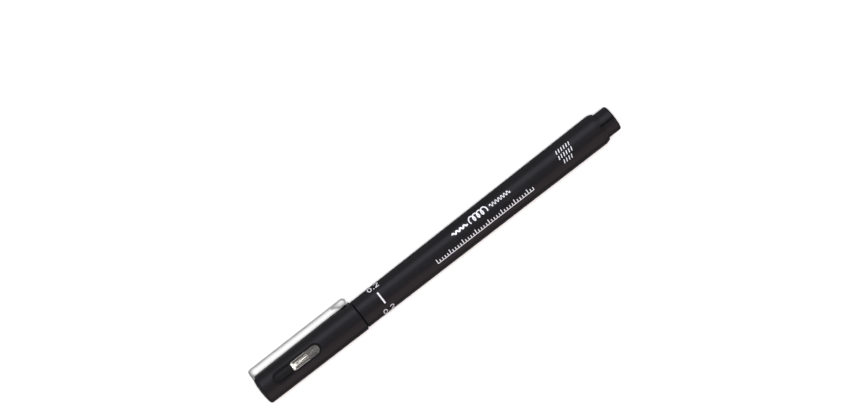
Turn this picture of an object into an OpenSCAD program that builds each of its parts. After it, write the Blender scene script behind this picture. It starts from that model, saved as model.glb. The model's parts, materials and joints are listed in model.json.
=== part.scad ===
// Technical drawing pen with its cap on, lying on its side and resting on its clip.
//
// The pen is built along its own axis: z = 0 is the shoulder where the cap meets the barrel,
// the crown of the cap is at +z and the rear plug at -z. The pocket clip is on the +x side and
// the two windows in the cap face +y and -y. lay_down() then lays the finished pen along X.
// All lengths are in millimetres and all angles in degrees.

/* [Barrel] */
// Length of the barrel, from its front shoulder to the rear plug's flange
barrel_len = 92.9; // [70:0.1:120]
// Outer diameter at the rear end, the widest place of the barrel
barrel_rear_d = 10.5; // [10.2:0.02:13]
// How much smaller the barrel's radius is at its front shoulder
barrel_taper = 0.48; // [0:0.02:0.6]
// Wall of the barrel at its front end
barrel_wall = 0.82; // [0.6:0.02:1.1]
// Depth of the narrower front bore that the grip section is pushed into
section_bore_len = 8; // [5:0.5:12]
// Width of the turned edge at the barrel's front end, and at the ends of what it holds
barrel_edge = 0.35; // [0.1:0.05:0.4]
// Width of the turned edge at the barrel's rear end
barrel_rear_edge = 0.12; // [0.06:0.02:0.3]
// Height of the thin ribs that centre the reservoir
rib_h = 0.3; // [0.1:0.05:0.4]
// Width of those ribs
rib_w = 0.6; // [0.3:0.1:1.2]
// Number of those ribs
rib_count = 4; // [3:1:8]

/* [Grip section] */
// Length of the grip section that shows in front of the barrel, without its front taper
section_len = 8.6; // [7:0.1:11]
// Length of the section's front taper
section_taper_len = 1.65; // [1:0.05:2.5]
// Gap between the section and the cap around it
section_gap = 0.34; // [0.2:0.02:0.5]
// Shoulder of the section that rests on the barrel's front face
section_shoulder = 0.45; // [0.3:0.05:0.6]
// How much smaller the section's radius is just behind its front taper
section_narrowing = 0.12; // [0.06:0.02:0.3]
// Lip of the section around the nose
section_lip = 0.2; // [0.1:0.05:0.4]
// Distance of the fine ring groove from the barrel
ring_at = 4.3; // [2:0.1:5.5]
// Width of the ring groove
ring_w = 0.35; // [0.2:0.05:0.6]
// Depth of the ring groove
ring_depth = 0.13; // [0.06:0.01:0.3]

/* [Nose and nib] */
// Diameter of the cylinder in front of the grip section, where the inner cap seals
nose_d = 4.9; // [4.4:0.05:5.9]
// Length of that cylinder
nose_len = 5.35; // [4.5:0.05:6.5]
// Step from that cylinder down to the base of the cone
cone_step = 0.27; // [0.1:0.01:0.3]
// Diameter at the tip of the nose cone
cone_tip_d = 1.4; // [1.3:0.02:1.7]
// Length of the nose cone
cone_len = 4.4; // [3.6:0.1:5.5]
// Length of the spigot that holds the nose in the grip section
holder_stem_len = 5; // [3:0.5:6]
// Diameter of that spigot
holder_stem_d = 3.9; // [3.2:0.1:4.2]
// Outer diameter of the steel tube
tube_d = 0.95; // [0.7:0.05:1.1]
// Wall of the steel tube
tube_wall = 0.14; // [0.1:0.01:0.18]
// Length of tube that stands out of the cone
tube_out = 3.3; // [2.5:0.1:4]
// Length of tube held inside the cone
tube_seat = 3.6; // [2.5:0.1:4.4]
// Length of nib that stands out of the tube
nib_out = 1.1; // [0.8:0.1:1.4]
// Diameter of the fibre rod that feeds the nib
feed_d = 2; // [1.6:0.1:2.4]
// Length of the feed rod inside the reservoir
feed_in_reservoir = 10; // [5:1:20]

/* [Ink reservoir] */
// Gap between the ribs and the film around the reservoir
reservoir_gap = 0.06; // [0.02:0.02:0.3]
// Thickness of that film
film_t = 0.12; // [0.08:0.01:0.15]
// Free length between the reservoir and the pieces at its two ends
reservoir_end_gap = 1; // [0.5:0.5:4]

/* [Rear plug] */
// Thickness of the plug's flange
flange_t = 1.2; // [0.8:0.1:2]
// How much smaller the flange's radius is than the barrel's
flange_inset = 0.12; // [0.05:0.01:0.4]
// How much the flange's radius falls towards the spigot, over its sloping rear part
flange_fall = 0.3; // [0.2:0.01:0.45]
// Length of the rear spigot, which the cap is pushed onto while drawing
spigot_len = 4.9; // [3:0.1:8]
// Step from the flange down to the spigot, on which the pushed-on cap rests
spigot_step = 0.88; // [0.5:0.01:1.1]
// Radius of the spigot's end edge
spigot_round = 0.6; // [0.2:0.1:1]
// Length of the plug inside the barrel
plug_stem_len = 6.4; // [4:0.2:10]
// Number of vent grooves along the spigot
vent_count = 2; // [1:1:6]
// Width of a vent groove
vent_w = 0.8; // [0.3:0.1:1]
// Depth of a vent groove
vent_depth = 0.8; // [0.3:0.1:0.8]

/* [Cap] */
// Length of the cap
cap_len = 38; // [36:0.1:50]
// Wall of the cap at its open end
mouth_wall = 0.86; // [0.7:0.02:1.2]
// How much smaller the cap's radius is at the crown
cap_taper = 0.24; // [0:0.02:0.4]
// Wall of the cap at the crown
crown_wall = 1.01; // [0.8:0.01:1.3]
// Height of the crown's dome
crown_dome = 0.3; // [0.1:0.05:0.5]
// Radius of the crown's edge
crown_round = 1; // [0.4:0.1:1]
// Width of the turned edges at the mouth
mouth_edge = 0.3; // [0.1:0.05:0.35]
// Length of a window
window_len = 17.9; // [12:0.1:19]
// Height of a window
window_h = 4.2; // [3:0.1:5.1]
// Width of the ledge inside a window, round its narrower opening into the bore
window_ledge = 0.6; // [0.3:0.05:1]
// Height of that ledge above the top of the bore
window_ledge_rise = 0.2; // [0.1:0.05:0.4]
// Distance from the tip of the nose cone back to the end of the windows
window_over_cone = 4.65; // [3:0.05:5.6]

/* [Inner cap] */
// Thickness of the inner cap's end wall and of its rear ring
liner_ring_t = 0.8; // [0.6:0.1:1.2]
// Clear length in front of the nib
nib_room = 0.8; // [0.5:0.1:2]
// Outer diameter of the inner cap around the needle, and of its pin in the crown plug
liner_front_d = 3.2; // [2.8:0.1:4.2]
// Length of that pin
liner_pin_len = 1.5; // [0.8:0.1:3]
// Wall of the inner cap
liner_wall = 0.68; // [0.4:0.02:0.8]
// Gap between the nose cone and the inner cap
cone_gap = 0.3; // [0.2:0.05:0.4]
// Distance from the base of the cone back to the inner cap's rear ring
liner_ring_back = 1.4; // [1:0.1:2]

/* [Clip] */
// Width of the spring strip
clip_w = 4.2; // [3:0.1:5]
// Thickness of the spring strip
clip_t = 0.5; // [0.3:0.05:0.6]
// Clear height between the cap's mouth and the strip
clip_space = 1.85; // [1.5:0.05:3]
// Distance from the cap's mouth to the tip of the clip's hook
hook_from_mouth = 0.65; // [0.5:0.05:6]
// Length of the flat on which the hook rests
hook_flat = 0.6; // [0.2:0.1:1.5]
// Length of the hook's turned-up tail
hook_tail = 3; // [1:0.1:3.4]
// Angle of that tail to the cap
hook_tail_angle = 23; // [10:1:24]
// Radius of the bend from the strip to the leg, over the crown
clip_bend = 0.85; // [0.6:0.05:1.1]
// Radius of the bend from the leg to the foot, inside the crown
foot_bend = 0.55; // [0.4:0.05:0.8]
// Distance from the crown's top to the middle of the leg that comes down over it
clip_leg_in = 0.77; // [0.7:0.01:1]
// Depth of the strip's foot inside the crown
clip_foot = 3; // [2:0.2:5]

/* [Clearances] */
// Radial clearance between pushed-together pieces that stay together
push_fit = 0.02; // [0.01:0.01:0.04]
// Radial clearance where the cap turns and slides
slide_fit = 0.04; // [0.02:0.01:0.08]
// Gap between the cap's mouth and the barrel's shoulder
seam_gap = 0.05; // [0.02:0.01:0.2]
// Gap between the clip and what it lies in or rests on
clip_gap = 0.1; // [0.05:0.01:0.15]
// Gap in length between the inner cap and the crown plug that its pin goes into
crown_plug_gap = 0.1; // [0.05:0.01:0.3]

/* [Hidden] */
$fn = 96;

// Overlap that joins the pieces of one outline, and overshoot of the cutters
join = 0.02;
cut = 1;

// Radii of the rear end, then of the cap that is pushed onto its spigot
barrel_rear_r = barrel_rear_d / 2;
flange_r = barrel_rear_r - flange_inset;
spigot_r = flange_r - spigot_step;
mouth_bore_r = spigot_r + slide_fit;
cap_mouth_r = mouth_bore_r + mouth_wall;
cap_crown_r = cap_mouth_r - cap_taper;
cap_bore_r = cap_crown_r - crown_wall;

// Radii of the barrel's front end and of what is pushed into it
barrel_front_r = barrel_rear_r - barrel_taper;
bore_r = barrel_front_r - barrel_wall;
section_r = mouth_bore_r - section_gap;
section_front_r = section_r - section_narrowing;
section_bore_r = section_r - section_shoulder;
section_stem_r = section_bore_r - push_fit;

// Radii of the nose and of the ink path
nose_r = nose_d / 2;
cone_base_r = nose_r - cone_step;
cone_tip_r = cone_tip_d / 2;
holder_stem_r = holder_stem_d / 2;
feed_r = feed_d / 2;
feed_bore_r = feed_r + push_fit;
tube_r = tube_d / 2;
tube_bore_r = tube_r - tube_wall;
film_outer_r = bore_r - rib_h - reservoir_gap;
film_inner_r = film_outer_r - film_t;
reservoir_r = film_inner_r - push_fit;

// Places along the nose, counted from the shoulder
ring_step = 0.05;
holder_z = section_len + section_taper_len;
holder_stem_z = holder_z - holder_stem_len;
nose_edge = 0.3;
cone_base_z = holder_z + nose_len;
cone_tip_z = cone_base_z + cone_len;
tube_seat_z = cone_tip_z - tube_seat;
tube_flange_r = 0.9;
tube_flange_t = 0.4;
tube_end_z = cone_tip_z + tube_out;
tube_nose_edge = 0.06;
nib_r = tube_bore_r - push_fit;
nib_head_len = 1.5;
nib_back_z = tube_seat_z - tube_flange_t - nib_head_len;
nib_tip_z = tube_end_z + nib_out;

// Reservoir, between the section's stem and the rear plug's stem
reservoir_front_z = -section_bore_len - reservoir_end_gap;
reservoir_rear_z = -(barrel_len - plug_stem_len - reservoir_end_gap);
feed_end_z = reservoir_front_z - feed_in_reservoir;

// Rear plug
plug_rear_z = -(barrel_len + flange_t + spigot_len);
plug_stem_r = bore_r - push_fit;
plug_wall = 1;
plug_end_wall = 1.6;
flange_slope_len = 0.75 * flange_t;

// Places along the cap. The windows are set out from the nose, so that they show the nib, and
// the bore narrows just past the front of the grip section.
bore_step_past_section = 0.15;
cap_top_z = seam_gap + cap_len;
bore_step_z = holder_z + bore_step_past_section;
window_end_z = cone_tip_z - window_over_cone;
crown_plug_r = cap_bore_r - push_fit;
function cap_r(z) = cap_mouth_r - cap_taper * (z - seam_gap) / cap_len;

// Inner cap, set out from the nib and the nose, with its mouth just inside the narrow bore
liner_mouth_in_bore = 0.2;
liner_end_z = nib_tip_z + nib_room;
liner_mouth_z = bore_step_z + liner_mouth_in_bore;
liner_ring_z = cone_base_z - liner_ring_back;
liner_r = cap_bore_r - slide_fit;
liner_front_r = liner_front_d / 2;
seal_r = nose_r + slide_fit;
liner_rear_r = seal_r + liner_wall;
crown_plug_end_z = liner_end_z + liner_ring_t + crown_plug_gap;
liner_top_z = crown_plug_end_z + liner_pin_len;

// Clip: its strip stands clear of the cap's widest part, and its foot bends clear of the shell
clip_r = cap_mouth_r + clip_space + clip_t / 2;
clip_foot_r = sqrt(pow(cap_bore_r, 2) - pow(clip_w / 2, 2)) - foot_bend - clip_gap;
clip_leg_z = cap_top_z - clip_leg_in;
clip_slot_w = clip_w + 2 * clip_gap;
hook_r = (clip_space - clip_gap) / 2;
hook_z = seam_gap + hook_from_mouth + clip_t / 2 + hook_r;
tail_bend_r = 1.2;

// Lying pose: the pen rolls until the strip's outer corner meets the ground
widest_r = max(barrel_rear_r, cap_mouth_r);
clip_corner = [clip_r + clip_t / 2, clip_w / 2];
clip_tilt = asin(widest_r / norm(clip_corner)) - atan(clip_corner.y / clip_corner.x);
clip_side = clip_corner.x * cos(clip_tilt) + clip_corner.y * sin(clip_tilt);
mid_x = (cap_top_z + plug_rear_z) / 2;
mid_y = (clip_side - widest_r) / 2;

// Points of an arc about c from angle a0 to a1, for turned outlines
function arc(c, r, a0, a1, steps = 10) =
    [for (i = [0:steps]) let (a = a0 + (a1 - a0) * i / steps) c + r * [cos(a), sin(a)]];

// A solid of revolution from an outline of [radius, z] points
module turned(outline) {
    rotate_extrude() polygon(outline);
}

// Moves the pen from its own axis onto the ground, along X
module lay_down() {
    translate([-mid_x, mid_y, widest_r])
        rotate([-(90 - clip_tilt), 0, 0])
            rotate([0, 90, 0])
                children();
}

// Bends a flat strip along a route. A move is ["run", length] or ["turn", radius, angle], and a
// positive angle turns left. The strip starts at p, heading along angle h.
module strip_route(moves, p, h, t, i = 0) {
    if (i < len(moves)) {
        move = moves[i];
        if (move[0] == "run") {
            translate(p) rotate(h) translate([-join, -t / 2]) square([move[1] + 2 * join, t]);
            strip_route(moves, p + move[1] * [cos(h), sin(h)], h, t, i + 1);
        } else {
            side = sign(move[2]);
            centre = p + side * move[1] * [-sin(h), cos(h)];
            from = h - side * 90;
            to = from + move[2];
            strip_bend(centre, move[1], t, from, to);
            strip_route(moves, centre + move[1] * [cos(to), sin(to)], h + move[2], t, i + 1);
        }
    }
}

// One bend of the strip: a sector of a ring, of less than a half turn
module strip_bend(centre, r, t, from, to) {
    reach = 4 * (r + t);
    middle = (from + to) / 2;
    translate(centre) intersection() {
        difference() {
            circle(r = r + t / 2);
            circle(r = r - t / 2);
        }
        polygon([[0, 0], for (a = [from, middle, to]) reach * [cos(a), sin(a)]]);
    }
}

// A slot with round ends, on the x axis and centred
module stadium(length, height) {
    square([length - height, height], center = true);
    for (side = [-1, 1]) translate([side * (length - height) / 2, 0]) circle(d = height);
}

// Tapered outer tube of the pen, with a narrow front bore and ribs that centre the reservoir
module barrel() {
    color("#2c2c31") {
        turned([
            [section_bore_r, 0],
            [barrel_front_r - barrel_edge, 0],
            [barrel_front_r, -barrel_edge],
            [barrel_rear_r, -(barrel_len - barrel_rear_edge)],
            [barrel_rear_r - barrel_rear_edge, -barrel_len],
            [bore_r, -barrel_len],
            [bore_r, -section_bore_len],
            [section_bore_r, -section_bore_len]
        ]);
        rib_len = reservoir_front_z - reservoir_rear_z;
        first_rib = 45;
        for (i = [0:rib_count - 1])
            rotate(first_rib + 360 * i / rib_count)
                translate([bore_r - rib_h, -rib_w / 2, reservoir_rear_z])
                    cube([rib_h + barrel_edge, rib_w, rib_len]);
    }
}

// Grip section: pushed into the barrel, with a ring groove and a taper down to the nose
module grip_section() {
    color("#161617") turned([
        [feed_bore_r, -section_bore_len],
        [section_stem_r - barrel_edge, -section_bore_len],
        [section_stem_r, -(section_bore_len - barrel_edge)],
        [section_stem_r, 0],
        [section_r, 0],
        [section_r, ring_at],
        [section_r - ring_depth, ring_at],
        [section_r - ring_depth, ring_at + ring_w],
        [section_r - ring_step, ring_at + ring_w],
        [section_front_r, section_len],
        [nose_r + section_lip, holder_z],
        [holder_stem_r + push_fit, holder_z],
        [holder_stem_r + push_fit, holder_stem_z],
        [feed_bore_r, holder_stem_z]
    ]);
}

// Nose piece: sealing cylinder and cone, which hold the steel tube and guide the feed rod
module nib_holder() {
    seat_r = tube_r + push_fit;
    tip_edge = 0.1;
    color("#121213") turned([
        [feed_bore_r, holder_stem_z],
        [holder_stem_r, holder_stem_z],
        [holder_stem_r, holder_z],
        [nose_r - nose_edge / 2, holder_z],
        [nose_r, holder_z + nose_edge / 2],
        [nose_r, cone_base_z - nose_edge],
        [cone_base_r, cone_base_z],
        [cone_tip_r, cone_tip_z - tip_edge],
        [cone_tip_r - tip_edge, cone_tip_z],
        [seat_r, cone_tip_z],
        [seat_r, tube_seat_z],
        [feed_bore_r, tube_seat_z]
    ]);
}

// Steel tube that carries the nib, flanged at its hidden end
module needle_tube() {
    color("#c9c9c6") turned([
        [tube_bore_r, tube_seat_z - tube_flange_t],
        [tube_flange_r, tube_seat_z - tube_flange_t],
        [tube_flange_r, tube_seat_z],
        [tube_r, tube_seat_z],
        [tube_r, tube_end_z - tube_nose_edge],
        [tube_r - tube_nose_edge, tube_end_z],
        [tube_bore_r, tube_end_z]
    ]);
}

// Plastic nib: a fine rod with a round point and a wider head against the feed rod
module nib_point() {
    head_z = nib_back_z + nib_head_len;
    color("#0c0c0d") turned([
        [0, nib_back_z],
        [feed_r, nib_back_z],
        [feed_r, head_z],
        [nib_r, head_z],
        each arc([0, nib_tip_z - nib_r], nib_r, 0, 90)
    ]);
}

// Fibre rod that carries ink from the reservoir to the nib
module feed_rod() {
    color("#23232a") translate([0, 0, feed_end_z]) cylinder(h = nib_back_z - feed_end_z, r = feed_r);
}

// Fibre bundle that holds the ink, with a blind hole for the feed rod
module ink_reservoir() {
    color("#1b1b24") difference() {
        translate([0, 0, reservoir_rear_z])
            cylinder(h = reservoir_front_z - reservoir_rear_z, r = reservoir_r);
        translate([0, 0, feed_end_z]) cylinder(h = feed_in_reservoir + cut, r = feed_bore_r);
    }
}

// Thin film wrapped around the reservoir
module reservoir_film() {
    color("#d8d8dc") turned([
        [film_inner_r, reservoir_rear_z],
        [film_outer_r, reservoir_rear_z],
        [film_outer_r, reservoir_front_z],
        [film_inner_r, reservoir_front_z]
    ]);
}

// Plug that closes the barrel. Its spigot takes the cap, and grooves along it let the air out.
module rear_plug() {
    front_z = -(barrel_len - plug_stem_len);
    flange_rear_z = -(barrel_len + flange_t);
    hollow_r = plug_stem_r - plug_wall;
    color("#29292b") difference() {
        turned([
            [0, plug_rear_z],
            each arc([spigot_r - spigot_round, plug_rear_z + spigot_round], spigot_round, -90, 0, 8),
            [spigot_r, flange_rear_z],
            [flange_r - flange_fall, flange_rear_z],
            [flange_r, flange_rear_z + flange_slope_len],
            [flange_r, -barrel_len],
            [plug_stem_r, -barrel_len],
            [plug_stem_r, front_z - barrel_edge],
            [plug_stem_r - barrel_edge, front_z],
            [hollow_r, front_z],
            [hollow_r, plug_rear_z + plug_end_wall],
            [0, plug_rear_z + plug_end_wall]
        ]);
        first_vent = 90;
        for (i = [0:vent_count - 1])
            rotate(first_vent + 360 * i / vent_count)
                translate([spigot_r - vent_depth, -vent_w / 2, plug_rear_z - cut])
                    cube([flange_r, vent_w, spigot_len + flange_t / 2 + cut]);
    }
}

// Cap tube, open at both ends, with two ledged windows and a notch for the clip's leg
module cap_shell() {
    rim_z = cap_top_z - crown_dome;
    edge_r = min(crown_round, crown_wall);
    round_r = cap_r(rim_z - edge_r);
    notch_z = clip_leg_z - clip_t / 2 - clip_gap;
    color("#242428") difference() {
        turned([
            [mouth_bore_r, seam_gap + mouth_edge],
            [mouth_bore_r + mouth_edge / 2, seam_gap],
            [cap_mouth_r - mouth_edge, seam_gap],
            [cap_r(seam_gap + mouth_edge), seam_gap + mouth_edge],
            each arc([round_r - edge_r, rim_z - edge_r], edge_r, 0, 90),
            [cap_bore_r, rim_z],
            [cap_bore_r, bore_step_z],
            [mouth_bore_r, bore_step_z]
        ]);
        translate([0, 0, window_end_z + window_len / 2]) rotate([90, 90, 0]) {
            linear_extrude(4 * cap_mouth_r, center = true)
                stadium(window_len - 2 * window_ledge, window_h - 2 * window_ledge);
            for (side = [0, 1])
                mirror([0, 0, side])
                    translate([0, 0, cap_bore_r + window_ledge_rise])
                        linear_extrude(cap_mouth_r) stadium(window_len, window_h);
        }
        clip_slot(notch_z);
    }
}

// Slot on the clip's side of the crown, from from_z up through the crown's end
module clip_slot(from_z) {
    inner_r = clip_foot_r - clip_t / 2 - clip_gap;
    translate([inner_r, -clip_slot_w / 2, from_z]) cube([clip_r, clip_slot_w, cap_len]);
}

// Plug that closes the crown. Its domed end shows, a blind hole takes the inner cap's pin, and a
// slot in its side takes the clip's foot, with room for the foot to swing as the clip opens.
module crown_plug() {
    dome_r = (pow(crown_plug_r, 2) + pow(crown_dome, 2)) / (2 * crown_dome);
    dome_half = asin(crown_plug_r / dome_r);
    socket_r = liner_front_r + slide_fit;
    socket_end_z = liner_top_z + crown_plug_gap;
    color("#2b2b2e") difference() {
        turned([
            [0, socket_end_z],
            [socket_r, socket_end_z],
            [socket_r, crown_plug_end_z],
            [crown_plug_r, crown_plug_end_z],
            each arc([0, cap_top_z - dome_r], dome_r, 90 - dome_half, 90)
        ]);
        clip_slot(clip_leg_z - clip_foot - clip_gap);
    }
}

// Translucent inner cap: seals on the nose and keeps the nib wet. A ring and a pin centre it.
module inner_cap() {
    needle_bore_r = liner_front_r - liner_wall;
    cone_bore_r = cone_tip_r + cone_gap;
    color("#d2ccc4") turned([
        [0, liner_end_z],
        [needle_bore_r, liner_end_z],
        [needle_bore_r, cone_tip_z + cone_gap + liner_wall],
        [cone_bore_r, cone_tip_z + cone_gap],
        [seal_r, cone_base_z + cone_gap],
        [seal_r, liner_mouth_z],
        [liner_rear_r, liner_mouth_z],
        [liner_rear_r, liner_ring_z - liner_ring_t],
        [liner_r, liner_ring_z - liner_ring_t],
        [liner_r, liner_ring_z],
        [liner_rear_r, liner_ring_z],
        [liner_rear_r, cone_base_z],
        [liner_front_r, cone_tip_z + cone_gap],
        [liner_front_r, liner_top_z],
        [0, liner_top_z]
    ]);
}

// Spring-steel clip: foot in the crown, leg over its end, straight arm and a curled hook
module pocket_clip() {
    leg_run = clip_r - clip_foot_r - clip_bend - foot_bend;
    arm_run = clip_leg_z - clip_bend - hook_z;
    moves = [
        ["run", clip_foot - foot_bend],
        ["turn", foot_bend, -90],
        ["run", leg_run],
        ["turn", clip_bend, -90],
        ["run", arm_run],
        ["turn", hook_r, -90],
        ["turn", hook_r, -90],
        ["run", hook_flat],
        ["turn", tail_bend_r, -hook_tail_angle],
        ["run", hook_tail]
    ];
    color("#8d8d8f")
        translate([0, clip_w / 2, 0])
            rotate([90, 0, 0])
                linear_extrude(clip_w)
                    strip_route(moves, [clip_foot_r, clip_leg_z - clip_foot], 90, clip_t);
}

lay_down() barrel();
lay_down() grip_section();
lay_down() nib_holder();
lay_down() needle_tube();
lay_down() nib_point();
lay_down() feed_rod();
lay_down() ink_reservoir();
lay_down() reservoir_film();
lay_down() rear_plug();
lay_down() cap_shell();
lay_down() crown_plug();
lay_down() inner_cap();
lay_down() pocket_clip();
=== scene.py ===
import json
import math

import bmesh
import bpy
from mathutils import Matrix, Vector


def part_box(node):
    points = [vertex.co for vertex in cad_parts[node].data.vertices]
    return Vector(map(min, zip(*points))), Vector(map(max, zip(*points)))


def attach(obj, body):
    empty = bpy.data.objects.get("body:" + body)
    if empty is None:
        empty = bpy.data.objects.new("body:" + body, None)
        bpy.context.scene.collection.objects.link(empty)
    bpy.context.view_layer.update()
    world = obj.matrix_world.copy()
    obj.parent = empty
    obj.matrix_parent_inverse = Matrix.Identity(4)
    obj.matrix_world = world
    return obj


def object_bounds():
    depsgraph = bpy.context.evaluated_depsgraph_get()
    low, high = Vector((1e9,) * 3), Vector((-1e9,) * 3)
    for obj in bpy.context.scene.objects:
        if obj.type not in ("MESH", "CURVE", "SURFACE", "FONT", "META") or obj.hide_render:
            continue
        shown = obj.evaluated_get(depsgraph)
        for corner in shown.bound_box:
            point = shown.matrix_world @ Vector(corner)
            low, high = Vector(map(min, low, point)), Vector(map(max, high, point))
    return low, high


# A capped technical pen that lies on its clip. Metres, in the CAD frame: the pen runs along X with
# its crown at +X. Angles round the pen are counted from the middle of the upper window; they grow
# away from the clip.

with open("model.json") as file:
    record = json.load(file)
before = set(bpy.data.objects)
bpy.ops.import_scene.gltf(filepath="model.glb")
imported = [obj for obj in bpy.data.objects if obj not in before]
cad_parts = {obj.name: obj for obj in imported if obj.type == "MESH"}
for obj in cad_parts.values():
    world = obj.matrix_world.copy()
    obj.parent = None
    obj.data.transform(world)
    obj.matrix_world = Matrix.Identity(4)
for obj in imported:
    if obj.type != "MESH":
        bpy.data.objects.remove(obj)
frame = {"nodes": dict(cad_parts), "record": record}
cad_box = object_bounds()
nodes = frame["nodes"]
MM = 0.001

# ---------------------------------------------------------------- places taken from the CAD model

barrel_lo, barrel_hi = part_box("barrel")
clip_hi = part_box("pocket_clip")[1]
AXIS = Vector((0, (barrel_lo.y + barrel_hi.y) / 2, (barrel_lo.z + barrel_hi.z) / 2))
ALONG = Vector((1, 0, 0))
MIDDLE = AXIS + ALONG * (cad_box[0].x + cad_box[1].x) / 2
clip_mount = next(m for m in frame["record"]["mounts"] if m["name"] == "clip_gap")
CLIP_WAY = Vector(clip_mount["pos_m"]) - AXIS
CLIP_WAY.x = 0
CLIP_WAY.normalize()
WINDOW_WAY = CLIP_WAY.cross(ALONG).normalized()
if WINDOW_WAY.z < 0:
    WINDOW_WAY.negate()


def round_pen(degrees):
    """Direction that points away from the pen's axis at an angle round it."""
    a = math.radians(degrees)
    return WINDOW_WAY * math.cos(a) - CLIP_WAY * math.sin(a)


def ring_radius(node, x, reach):
    """Outer radius of a CAD node near the plane at x."""
    return max(
        math.hypot(v.co.y - AXIS.y, v.co.z - AXIS.z)
        for v in nodes[node].data.vertices
        if abs(v.co.x - x) < reach
    )


EDGE_REACH = 0.5 * MM
FRONT_R = ring_radius("barrel", barrel_hi.x, EDGE_REACH)
REAR_R = ring_radius("barrel", barrel_lo.x, EDGE_REACH)


def barrel_radius(x):
    part = (x - barrel_lo.x) / (barrel_hi.x - barrel_lo.x)
    return REAR_R + (FRONT_R - REAR_R) * part


def on_barrel(behind, round_deg, lift):
    """Point lift above the barrel's face, at a distance behind its front shoulder and an angle."""
    x = barrel_hi.x - behind
    p = AXIS + round_pen(round_deg) * (barrel_radius(x) + lift)
    p.x = x
    return p


# ---------------------------------------------------------------- materials


def rgb(r, g, b):
    return (r, g, b, 1.0)


class Nodes:
    """Short names for the few node kinds that the materials use."""

    # Most of a noise's values lie between these two
    LOW, HIGH = 0.3, 0.7

    def __init__(self, name):
        self.material = bpy.data.materials.new(name)
        self.material.use_nodes = True
        self.tree = self.material.node_tree
        self.shader = self.tree.nodes["Principled BSDF"]
        self.place = self.make("ShaderNodeTexCoord").outputs["Object"]

    def make(self, kind, **settings):
        n = self.tree.nodes.new(kind)
        for key, value in settings.items():
            setattr(n, key, value)
        return n

    def link(self, out, into):
        self.tree.links.new(out, into)

    def put(self, socket, value):
        """Sets a socket to a number or links it to an output."""
        if isinstance(value, bpy.types.NodeSocket):
            self.link(value, socket)
        else:
            socket.default_value = value

    def drawn_out(self, along):
        """Coordinates for marks that run along X. The smaller along is, the longer they are."""
        m = self.make("ShaderNodeMapping")
        m.inputs["Scale"].default_value = (along, 1.0, 1.0)
        self.link(self.place, m.inputs["Vector"])
        return m.outputs["Vector"]

    def noise(self, per_metre, detail=3.0, rough=0.5, where=None):
        n = self.make("ShaderNodeTexNoise")
        self.link(where or self.place, n.inputs["Vector"])
        n.inputs["Scale"].default_value = per_metre
        n.inputs["Detail"].default_value = detail
        n.inputs["Roughness"].default_value = rough
        return n.outputs["Fac"]

    def spread(self, value, lo_in, hi_in, lo_out=0.0, hi_out=1.0):
        """Maps a range of values to another one, and stops at its ends."""
        m = self.make("ShaderNodeMapRange")
        self.put(m.inputs["Value"], value)
        for key, number in (
            ("From Min", lo_in),
            ("From Max", hi_in),
            ("To Min", lo_out),
            ("To Max", hi_out),
        ):
            self.put(m.inputs[key], number)
        return m.outputs["Result"]

    def over(self, noise, lo_out=0.0, hi_out=1.0):
        """Spreads a noise over a range."""
        return self.spread(noise, self.LOW, self.HIGH, lo_out, hi_out)

    def math(self, kind, a, b):
        m = self.make("ShaderNodeMath", operation=kind)
        self.put(m.inputs[0], a)
        self.put(m.inputs[1], b)
        return m.outputs[0]

    def mix(self, share, a, b):
        m = self.make("ShaderNodeMix", data_type="RGBA")
        self.put(m.inputs["Factor"], share)
        self.put(m.inputs["A"], a)
        self.put(m.inputs["B"], b)
        return m.outputs["Result"]

    def rounded(self, width):
        """Normal of the surface with its edges rounded over width."""
        bevel = self.make("ShaderNodeBevel", samples=6)
        bevel.inputs["Radius"].default_value = width
        return bevel.outputs["Normal"]

    def edges(self, normal):
        """1 where a rounded normal leaves the true one, so at edges, and 0 on smooth faces."""
        smooth, sharp = 0.995, 0.85
        geometry = self.make("ShaderNodeNewGeometry")
        dot = self.make("ShaderNodeVectorMath", operation="DOT_PRODUCT")
        self.link(normal, dot.inputs[0])
        self.link(geometry.outputs["Normal"], dot.inputs[1])
        return self.spread(dot.outputs["Value"], smooth, sharp)

    def open_faces(self, reach):
        """1 on open faces, and 0 deep inside grooves that are narrower than reach."""
        deep, shallow = 0.35, 0.95
        shade = self.make("ShaderNodeAmbientOcclusion", samples=8)
        shade.inputs["Distance"].default_value = reach
        return self.spread(shade.outputs["AO"], deep, shallow)

    def laid_on(self, colour, other, mask, share):
        """Mixes another colour in where the mask is 1, by a share."""
        return self.mix(self.math("MULTIPLY", mask, share), colour, other)

    def bump(self, height, distance, strength, under=None):
        b = self.make("ShaderNodeBump")
        b.inputs["Strength"].default_value = strength
        b.inputs["Distance"].default_value = distance
        self.link(height, b.inputs["Height"])
        if under is not None:
            self.link(under, b.inputs["Normal"])
        return b.outputs["Normal"]

    def base(self, **sockets):
        """Sets or links the shader's sockets, whose names have _ in place of spaces here."""
        for key, value in sockets.items():
            self.put(self.shader.inputs[key.replace("_", " ")], value)


RUB_WIDTH = 0.12 * MM
# Painted shade in grooves: how far round a point the occlusion looks, and the near-black colour
# painted where the point is shut in
PAINTED_SHADE_REACH = 0.8 * MM
PAINTED_GROOVE_SHADE = rgb(0.001, 0.001, 0.001)
# How far the roughness of moulded plastic varies, and how much smoother a rubbed edge is
ROUGH_SWING = 0.03
RUB_POLISH = 0.08


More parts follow.
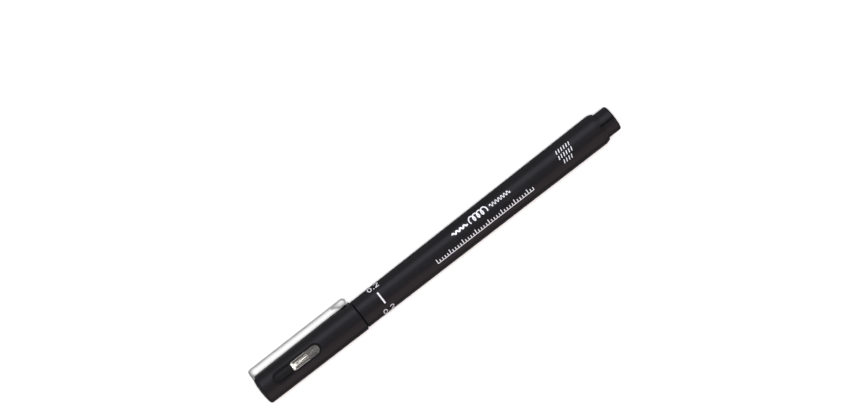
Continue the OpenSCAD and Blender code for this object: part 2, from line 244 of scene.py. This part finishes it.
def moulded(name, dark, light, worn, rough, grain, gloss):
    """Moulded plastic: a fine grain, faint flow marks, hair scratches, rubbed edges and painted
    shade that darkens its grooves."""
    m = Nodes(name)
    flow = m.noise(per_metre=90.0, detail=2.0, rough=0.5, where=m.drawn_out(0.35))
    fine = m.noise(per_metre=9000.0, detail=2.0, rough=0.6)
    hairs = m.noise(per_metre=1400.0, detail=2.0, rough=0.55, where=m.drawn_out(0.03))
    scratch = m.spread(hairs, lo_in=0.66, hi_in=0.74)
    soft = m.rounded(RUB_WIDTH)
    patches = m.spread(m.noise(per_metre=700.0), lo_in=0.35, hi_in=0.7, lo_out=0.15)
    rub = m.math("MULTIPLY", m.edges(soft), patches)
    colour = m.mix(m.over(flow), dark, light)
    colour = m.laid_on(colour, worn, scratch, share=0.25)
    colour = m.laid_on(colour, worn, rub, share=0.6)
    # Painted shade: near black is mixed into the colour deep inside grooves, where little light
    # reaches
    colour = m.mix(m.open_faces(PAINTED_SHADE_REACH), PAINTED_GROOVE_SHADE, colour)
    uneven = m.over(flow, rough - ROUGH_SWING, rough + ROUGH_SWING)
    uneven = m.math("ADD", uneven, m.over(fine, -ROUGH_SWING, ROUGH_SWING))
    uneven = m.math("SUBTRACT", uneven, m.math("MULTIPLY", rub, RUB_POLISH))
    scratched = m.bump(scratch, distance=0.004 * MM, strength=0.25, under=soft)
    m.base(Base_Color=colour, Roughness=uneven, Specular_IOR_Level=gloss)
    m.base(Normal=m.bump(fine, distance=grain, strength=0.6, under=scratched))
    return m.material


def natural_plastic():
    """Natural, unpigmented plastic: nearly clear, with a milky cloudiness."""
    m = Nodes("liner")
    cloud = m.noise(per_metre=420.0, detail=3.0, rough=0.6)
    fine = m.noise(per_metre=6000.0, detail=2.0, rough=0.6)
    colour = m.mix(m.over(cloud), rgb(0.88, 0.85, 0.81), rgb(0.95, 0.93, 0.90))
    m.base(Base_Color=colour, Roughness=m.over(fine, 0.06, 0.12))
    m.base(IOR=1.49, Transmission_Weight=0.92)
    m.base(Normal=m.bump(cloud, distance=0.01 * MM, strength=0.3))
    return m.material


BRIGHT_EDGE = rgb(0.78, 0.78, 0.78)


def brushed(name, dark, light, rough, across, along, depth, rounding):
    """Steel with brush marks along X, and with its edges rounded and worn brighter."""
    m = Nodes(name)
    marks = m.noise(per_metre=across, detail=3.0, rough=0.6, where=m.drawn_out(along))
    blotch = m.noise(per_metre=260.0, detail=2.0, rough=0.5)
    soft = m.rounded(rounding)
    colour = m.mix(m.over(marks), dark, light)
    colour = m.laid_on(colour, BRIGHT_EDGE, m.edges(soft), share=0.5)
    uneven = m.over(marks, rough - 0.06, rough + 0.08)
    uneven = m.math("ADD", uneven, m.spread(blotch, 0.35, 0.65, -0.03, 0.04))
    m.base(Base_Color=colour, Roughness=uneven, Metallic=1.0)
    m.base(Normal=m.bump(marks, distance=depth, strength=0.5, under=soft))
    return m.material


def fibre():
    """Bonded fibres that run along the pen, soaked with ink."""
    m = Nodes("ink_fibre")
    strands = m.noise(per_metre=6000.0, detail=3.0, rough=0.6, where=m.drawn_out(0.04))
    share = m.spread(strands, lo_in=0.35, hi_in=0.65)
    colour = m.mix(share, rgb(0.010, 0.010, 0.018), rgb(0.045, 0.045, 0.065))
    m.base(Base_Color=colour, Roughness=m.over(strands, 0.6, 0.9))
    m.base(Normal=m.bump(strands, distance=0.03 * MM, strength=0.8))
    return m.material


def film():
    """Thin wrapping film with lengthwise creases."""
    m = Nodes("film")
    creases = m.noise(per_metre=900.0, detail=2.0, rough=0.5, where=m.drawn_out(0.08))
    share = m.spread(creases, lo_in=0.35, hi_in=0.7)
    colour = m.mix(share, rgb(0.66, 0.66, 0.70), rgb(0.84, 0.84, 0.87))
    m.base(Base_Color=colour, Roughness=m.over(creases, 0.12, 0.3))
    m.base(IOR=1.45, Transmission_Weight=0.5)
    m.base(Normal=m.bump(creases, distance=0.02 * MM, strength=0.4))
    return m.material


def printed():
    """Pad-printed ink: slightly uneven cover, a little rougher than the plastic."""
    m = Nodes("print_ink")
    cover = m.noise(per_metre=5200.0, detail=3.0, rough=0.65)
    wash = m.noise(per_metre=500.0, detail=2.0, rough=0.5)
    thin = m.spread(cover, lo_in=0.60, hi_in=0.72, hi_out=0.35)
    colour = m.mix(m.over(wash), rgb(0.56, 0.56, 0.60), rgb(0.66, 0.66, 0.69))
    colour = m.mix(thin, colour, rgb(0.30, 0.30, 0.33))
    m.base(Base_Color=colour, Roughness=m.over(cover, 0.45, 0.6), Specular_IOR_Level=0.3)
    m.base(Normal=m.bump(cover, distance=0.004 * MM, strength=0.4))
    return m.material


def paint_cad(node, material):
    for s in nodes[node].material_slots:
        s.link = "OBJECT"
        s.material = material


shell = moulded(
    "shell",
    dark=rgb(0.0075, 0.0070, 0.0082),
    light=rgb(0.0100, 0.0094, 0.0108),
    worn=rgb(0.030, 0.029, 0.032),
    rough=0.31,
    grain=0.006 * MM,
    gloss=0.30,
)
trim = moulded(
    "trim",
    dark=rgb(0.0065, 0.0064, 0.0070),
    light=rgb(0.0090, 0.0089, 0.0096),
    worn=rgb(0.028, 0.028, 0.030),
    rough=0.30,
    grain=0.004 * MM,
    gloss=0.30,
)
nib = moulded(
    "nib",
    dark=rgb(0.004, 0.004, 0.005),
    light=rgb(0.008, 0.008, 0.010),
    worn=rgb(0.02, 0.02, 0.022),
    rough=0.45,
    grain=0.003 * MM,
    gloss=0.35,
)
spring_steel = brushed(
    "clip_steel",
    dark=rgb(0.56, 0.55, 0.55),
    light=rgb(0.70, 0.69, 0.69),
    rough=0.36,
    across=5200.0,
    along=0.02,
    depth=0.004 * MM,
    rounding=0.22 * MM,
)
drawn_steel = brushed(
    "needle_steel",
    dark=rgb(0.30, 0.29, 0.28),
    light=rgb(0.42, 0.41, 0.40),
    rough=0.30,
    across=9000.0,
    along=0.05,
    depth=0.002 * MM,
    rounding=0.03 * MM,
)
for material, painted in (
    (shell, ("barrel", "cap_shell", "rear_plug")),
    (trim, ("grip_section", "nib_holder", "crown_plug")),
    (natural_plastic(), ("inner_cap",)),
    (spring_steel, ("pocket_clip",)),
    (drawn_steel, ("needle_tube",)),
    (nib, ("nib_point",)),
    (fibre(), ("feed_rod", "ink_reservoir")),
    (film(), ("reservoir_film",)),
):
    for node in painted:
        paint_cad(node, material)

# ---------------------------------------------------------------- printed marks on the barrel

PRINT_LIFT = 0.020 * MM
PRINT_ROOT = -0.030 * MM
PRINT_STEP = 0.25 * MM
PRINT = printed()


def resampled(points):
    """The same line with its points no more than PRINT_STEP apart."""
    made = []
    for a, b in zip(points, points[1:]):
        count = max(1, math.ceil((b - a).length / PRINT_STEP))
        made += [a.lerp(b, i / count) for i in range(count)]
    return made + [points[-1]]


def stroke_sides(line, width):
    """Left and right edge points of a stroke along a line of 2-D points."""
    left, right = [], []
    for i, p in enumerate(line):
        before = line[max(i - 1, 0)]
        after = line[min(i + 1, len(line) - 1)]
        d = (after - before).normalized()
        side = Vector((-d.y, d.x)) * (width / 2)
        left.append(p + side)
        right.append(p - side)
    return left, right


def add_stroke(bm, points, width, place):
    """Adds a thin closed ribbon to bm. place maps a 2-D point and a height to the barrel."""
    left, right = stroke_sides(resampled([Vector(p) for p in points]), width)
    rows = []
    for a, b in zip(left, right):
        corners = ((a, PRINT_LIFT), (b, PRINT_LIFT), (b, PRINT_ROOT), (a, PRINT_ROOT))
        rows.append([bm.verts.new(place(p, lift)) for p, lift in corners])
    for r, s in zip(rows, rows[1:]):
        for i in range(len(r)):
            j = (i + 1) % len(r)
            bm.faces.new((r[i], r[j], s[j], s[i]))
    bm.faces.new(rows[0])
    bm.faces.new(reversed(rows[-1]))


def print_piece(name, strokes, behind, round_deg):
    """Printed marks as one piece. strokes are (points, width) in metres: x towards the rear plug,
    y round the pen towards the clip, from a middle at behind and round_deg."""
    bm = bmesh.new()
    r = barrel_radius(barrel_hi.x - behind)

    def place(p, lift):
        return on_barrel(behind + p.x, round_deg - math.degrees(p.y / r), lift)

    for points, width in strokes:
        add_stroke(bm, points, width, place)
    bmesh.ops.recalc_face_normals(bm, faces=bm.faces)
    mesh = bpy.data.meshes.new(name)
    bm.to_mesh(mesh)
    bm.free()
    mesh.materials.append(PRINT)
    piece = bpy.data.objects.new(name, mesh)
    bpy.context.scene.collection.objects.link(piece)
    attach(piece, "pen_body")


def arc_points(cx, cy, rx, ry, start, end, steps):
    """Points of an elliptic arc, with angles in degrees, anticlockwise from the x axis."""
    made = []
    for i in range(steps + 1):
        a = math.radians(start + (end - start) * i / steps)
        made.append((cx + rx * math.cos(a), cy + ry * math.sin(a)))
    return made


# Numerals, whose lines run along the middle of their strokes
DIGIT_H = 2.4 * MM
DIGIT_W = 1.45 * MM
DIGIT_GAP = 0.43 * MM
DIGIT_LINE = 0.25 * MM
DIGIT_ARC_STEPS = 20
# Half a turn in degrees, and a little more, so that the halves of a zero run into each other
ZERO_SWEEP = 182
TWO_ARC_STEPS = 14
DOT = 0.34 * MM
LINE_H = DIGIT_H - DIGIT_LINE
LINE_W = DIGIT_W - DIGIT_LINE


def digit_zero(x):
    """Two half ellipses."""
    halves = []
    for start in (90, 270):
        half = arc_points(x, 0, LINE_W / 2, LINE_H / 2, start, start + ZERO_SWEEP, DIGIT_ARC_STEPS)
        halves.append((half, DIGIT_LINE))
    return halves


def digit_two(x):
    """A hook that ends at the foot's left end, then the foot."""
    r = LINE_W / 2
    foot_y = -LINE_H / 2
    hook = arc_points(x, LINE_H / 2 - r, r, r, 165, -35, TWO_ARC_STEPS) + [(x - r, foot_y)]
    foot = [(x - r - DIGIT_LINE / 2, foot_y), (x + r, foot_y)]
    return [(hook, DIGIT_LINE), (foot, DIGIT_LINE)]


def width_mark():
    """The line width in millimetres, 0.2, round the middle of its length."""
    half = DIGIT_W / 2 + DIGIT_GAP + DOT / 2
    dot_y = -(DIGIT_H - DOT) / 2
    dot = ([(-DOT / 2, dot_y), (DOT / 2, dot_y)], DOT)
    return digit_zero(-half) + [dot] + digit_two(half)


# Bars and line widths take turns round the barrel
MARK_BEHIND = 8.3 * MM
MARK_FIRST = -0.5
MARK_TURN = 60
MARK_PAIRS = 3
BAR_ARC = 4.15 * MM
BAR_W = 0.50 * MM
bar = [([(0, -BAR_ARC / 2), (0, BAR_ARC / 2)], BAR_W)]
for i in range(MARK_PAIRS):
    bar_at = MARK_FIRST + 2 * i * MARK_TURN
    print_piece(f"print_bar_{i + 1}", bar, MARK_BEHIND, bar_at)
    print_piece(f"print_width_{i + 1}", width_mark(), MARK_BEHIND, bar_at + MARK_TURN)


def wave(x0, x1, y, height, turns, width):
    """A wavy line."""
    steps = 16 * turns
    points = []
    for i in range(steps + 1):
        a = 2 * math.pi * turns * i / steps
        points.append((x0 + (x1 - x0) * i / steps, y + height * math.sin(a)))
    return points, width


def loops(x0, x1, y, rx, ry, turns, width):
    """A row of hand-drawn loops, like a pen's first try on paper."""
    steps = 20 * turns
    points = []
    for i in range(steps + 1):
        a = 2 * math.pi * turns * i / steps
        x = x0 + (x1 - x0) * i / steps
        points.append((x - rx * math.sin(a), y - ry * math.cos(a)))
    return points, width


# Sample lines, from bold to fine
SAMPLE_BEHIND = 48.3 * MM
SAMPLE_ROUND = -24
WAVE_Y = -0.3 * MM
samples = [
    wave(-11.1 * MM, -5.4 * MM, WAVE_Y, height=0.36 * MM, turns=4, width=0.55 * MM),
    loops(-4.2 * MM, 2.0 * MM, 0.0, rx=0.62 * MM, ry=1.05 * MM, turns=4, width=0.40 * MM),
    wave(3.4 * MM, 11.1 * MM, WAVE_Y, height=0.55 * MM, turns=7, width=0.22 * MM),
]
print_piece("print_samples", samples, SAMPLE_BEHIND, SAMPLE_ROUND)

# A small scale of millimetres
SCALE_BEHIND = 47.1 * MM
SCALE_ROUND = 21
SCALE_MM = 37
LONG_EVERY = 5
TICK_FOOT = -0.78 * MM
TICK_LONG = 1.55 * MM
TICK_SHORT = 0.95 * MM
TICK_W = 0.26 * MM
SCALE_BASE_W = 0.20 * MM
scale = []
for i in range(SCALE_MM + 1):
    x = (i - SCALE_MM / 2) * MM
    tall = TICK_SHORT if i % LONG_EVERY else TICK_LONG
    scale.append(([(x, TICK_FOOT), (x, TICK_FOOT + tall)], TICK_W))
half_scale = (SCALE_MM * MM + TICK_W) / 2
scale.append(([(-half_scale, TICK_FOOT), (half_scale, TICK_FOOT)], SCALE_BASE_W))
print_piece("print_scale", scale, SCALE_BEHIND, SCALE_ROUND)

# Three rows of slanted hatching: the place of each row, and how many strokes it has
HATCH_BEHIND = 80.0 * MM
HATCH_ROUND = -4
HATCH_ROWS = ((1, 6), (0, 6), (-1, 4))
HATCH_PITCH = 0.95 * MM
HATCH_ROW_PITCH = 1.85 * MM
HATCH_ROW_SHIFT = 0.3 * MM
# From the middle of a stroke to its end
HATCH_HALF = Vector((0.2, 0.62)) * MM
HATCH_W = 0.26 * MM
hatch = []
for row, count in HATCH_ROWS:
    for i in range(count):
        x = (i - (count - 1) / 2) * HATCH_PITCH + row * HATCH_ROW_SHIFT
        centre = Vector((x, row * HATCH_ROW_PITCH))
        hatch.append(([centre - HATCH_HALF, centre + HATCH_HALF], HATCH_W))
print_piece("print_hatching", hatch, HATCH_BEHIND, HATCH_ROUND)

# ---------------------------------------------------------------- camera

SCENE = bpy.context.scene
SCENE.view_settings.view_transform = "Standard"
VIEW_TILT = math.radians(5)
VIEW_ROLL = math.radians(37.8)
LENS_MM = 220
SENSOR_MM = 36
FRAME_W = 263.1 * MM
# How far the pen's middle lies right of the frame's middle and below it
PEN_RIGHT = 2.3 * MM
PEN_DOWN = 15.0 * MM

to_viewer = (WINDOW_WAY * math.cos(VIEW_TILT) + ALONG * math.sin(VIEW_TILT)).normalized()
right = -ALONG * math.cos(VIEW_ROLL) - CLIP_WAY * math.sin(VIEW_ROLL)
right = (right - to_viewer * right.dot(to_viewer)).normalized()
up = to_viewer.cross(right)
target = MIDDLE - right * PEN_RIGHT + up * PEN_DOWN
camera_data = bpy.data.cameras.new("camera")
camera_data.lens = LENS_MM
camera_data.sensor_width = SENSOR_MM
camera_data.clip_start = 0.01
camera_data.clip_end = 20
camera = bpy.data.objects.new("camera", camera_data)
SCENE.collection.objects.link(camera)
stand = Matrix((right, up, to_viewer)).transposed().to_4x4()
stand.translation = target + to_viewer * (FRAME_W * LENS_MM / SENSOR_MM)
camera.matrix_world = stand
SCENE.camera = camera

# ---------------------------------------------------------------- floor and lights

FLOOR_SIZE = 6.0
FLOOR_GAP = 0.02 * MM
bm = bmesh.new()
bmesh.ops.create_grid(bm, x_segments=8, y_segments=8, size=FLOOR_SIZE / 2)
floor_mesh = bpy.data.meshes.new("floor")
bm.to_mesh(floor_mesh)
bm.free()
floor = bpy.data.objects.new("floor", floor_mesh)
SCENE.collection.objects.link(floor)
floor.location.z = cad_box[0].z - FLOOR_GAP
paper = Nodes("floor")
tooth = paper.noise(per_metre=900.0, detail=3.0, rough=0.6)
paper.base(Base_Color=paper.mix(tooth, rgb(0.90, 0.90, 0.90), rgb(0.93, 0.93, 0.93)))
paper.base(Roughness=0.9, Specular_IOR_Level=0.1)
floor_mesh.materials.append(paper.material)
floor.visible_glossy = False

WHITE = (1.0, 1.0, 1.0)
COOL = (0.84, 0.87, 1.0)
WARM = (1.0, 0.74, 0.72)


def softbox(name, way, distance, width, height, watts, tint=WHITE, in_gloss=True):
    """An area light that faces the pen's middle, with its width along the pen."""
    light = bpy.data.lights.new(name, "AREA")
    light.shape = "RECTANGLE"
    light.size = width
    light.size_y = height
    light.energy = watts
    light.color = tint
    ob = bpy.data.objects.new(name, light)
    SCENE.collection.objects.link(ob)
    way = way.normalized()
    x_axis = (ALONG - way * way.dot(ALONG)).normalized()
    m = Matrix((x_axis, way.cross(x_axis), way)).transposed().to_4x4()
    m.translation = MIDDLE + way * distance
    ob.matrix_world = m
    ob.visible_glossy = in_gloss
    return ob


def card(receivers, **softbox_settings):
    """A softbox that lights nothing but a few CAD nodes, and that the camera doesn't see."""
    ob = softbox(**softbox_settings)
    ob.visible_camera = False
    seen_by = bpy.data.collections.new(ob.name + "_receivers")
    for receiver in receivers:
        seen_by.objects.link(nodes[receiver])
    ob.light_linking.receiver_collection = seen_by


softbox("key", round_pen(-42), distance=0.7, width=1.6, height=0.50, watts=2.9, tint=COOL)
softbox("back", round_pen(70), distance=0.8, width=1.8, height=0.95, watts=3.2, tint=WARM)
softbox("front", to_viewer, distance=2.6, width=0.9, height=0.9, watts=85.0, in_gloss=False)

# White cards for the pieces that mirror or let through what is around them: one on the viewer's
# side, and one just above the floor. That one ends under the clip's leg, so that the leg's outer
# face mirrors less of it.
CARD = 2.0
CARD_LIFT = 0.01 * MM
LEG_BACK = 0.6 * MM
card(
    ("pocket_clip",),
    name="card_front",
    way=WINDOW_WAY,
    distance=1.0,
    width=CARD,
    height=CARD,
    watts=5.0,
)
card(
    ("pocket_clip", "inner_cap"),
    name="card_floor",
    way=Vector((0, 0, -1)),
    distance=MIDDLE.z - cad_box[0].z + CARD_LIFT,
    width=2 * (clip_hi.x - MIDDLE.x - LEG_BACK),
    height=CARD,
    watts=0.88,
)

world = bpy.data.worlds.new("world")
world.use_nodes = True
surroundings = world.node_tree.nodes["Background"]
surroundings.inputs["Color"].default_value = rgb(1.0, 1.0, 1.0)
surroundings.inputs["Strength"].default_value = 0.12
SCENE.world = world
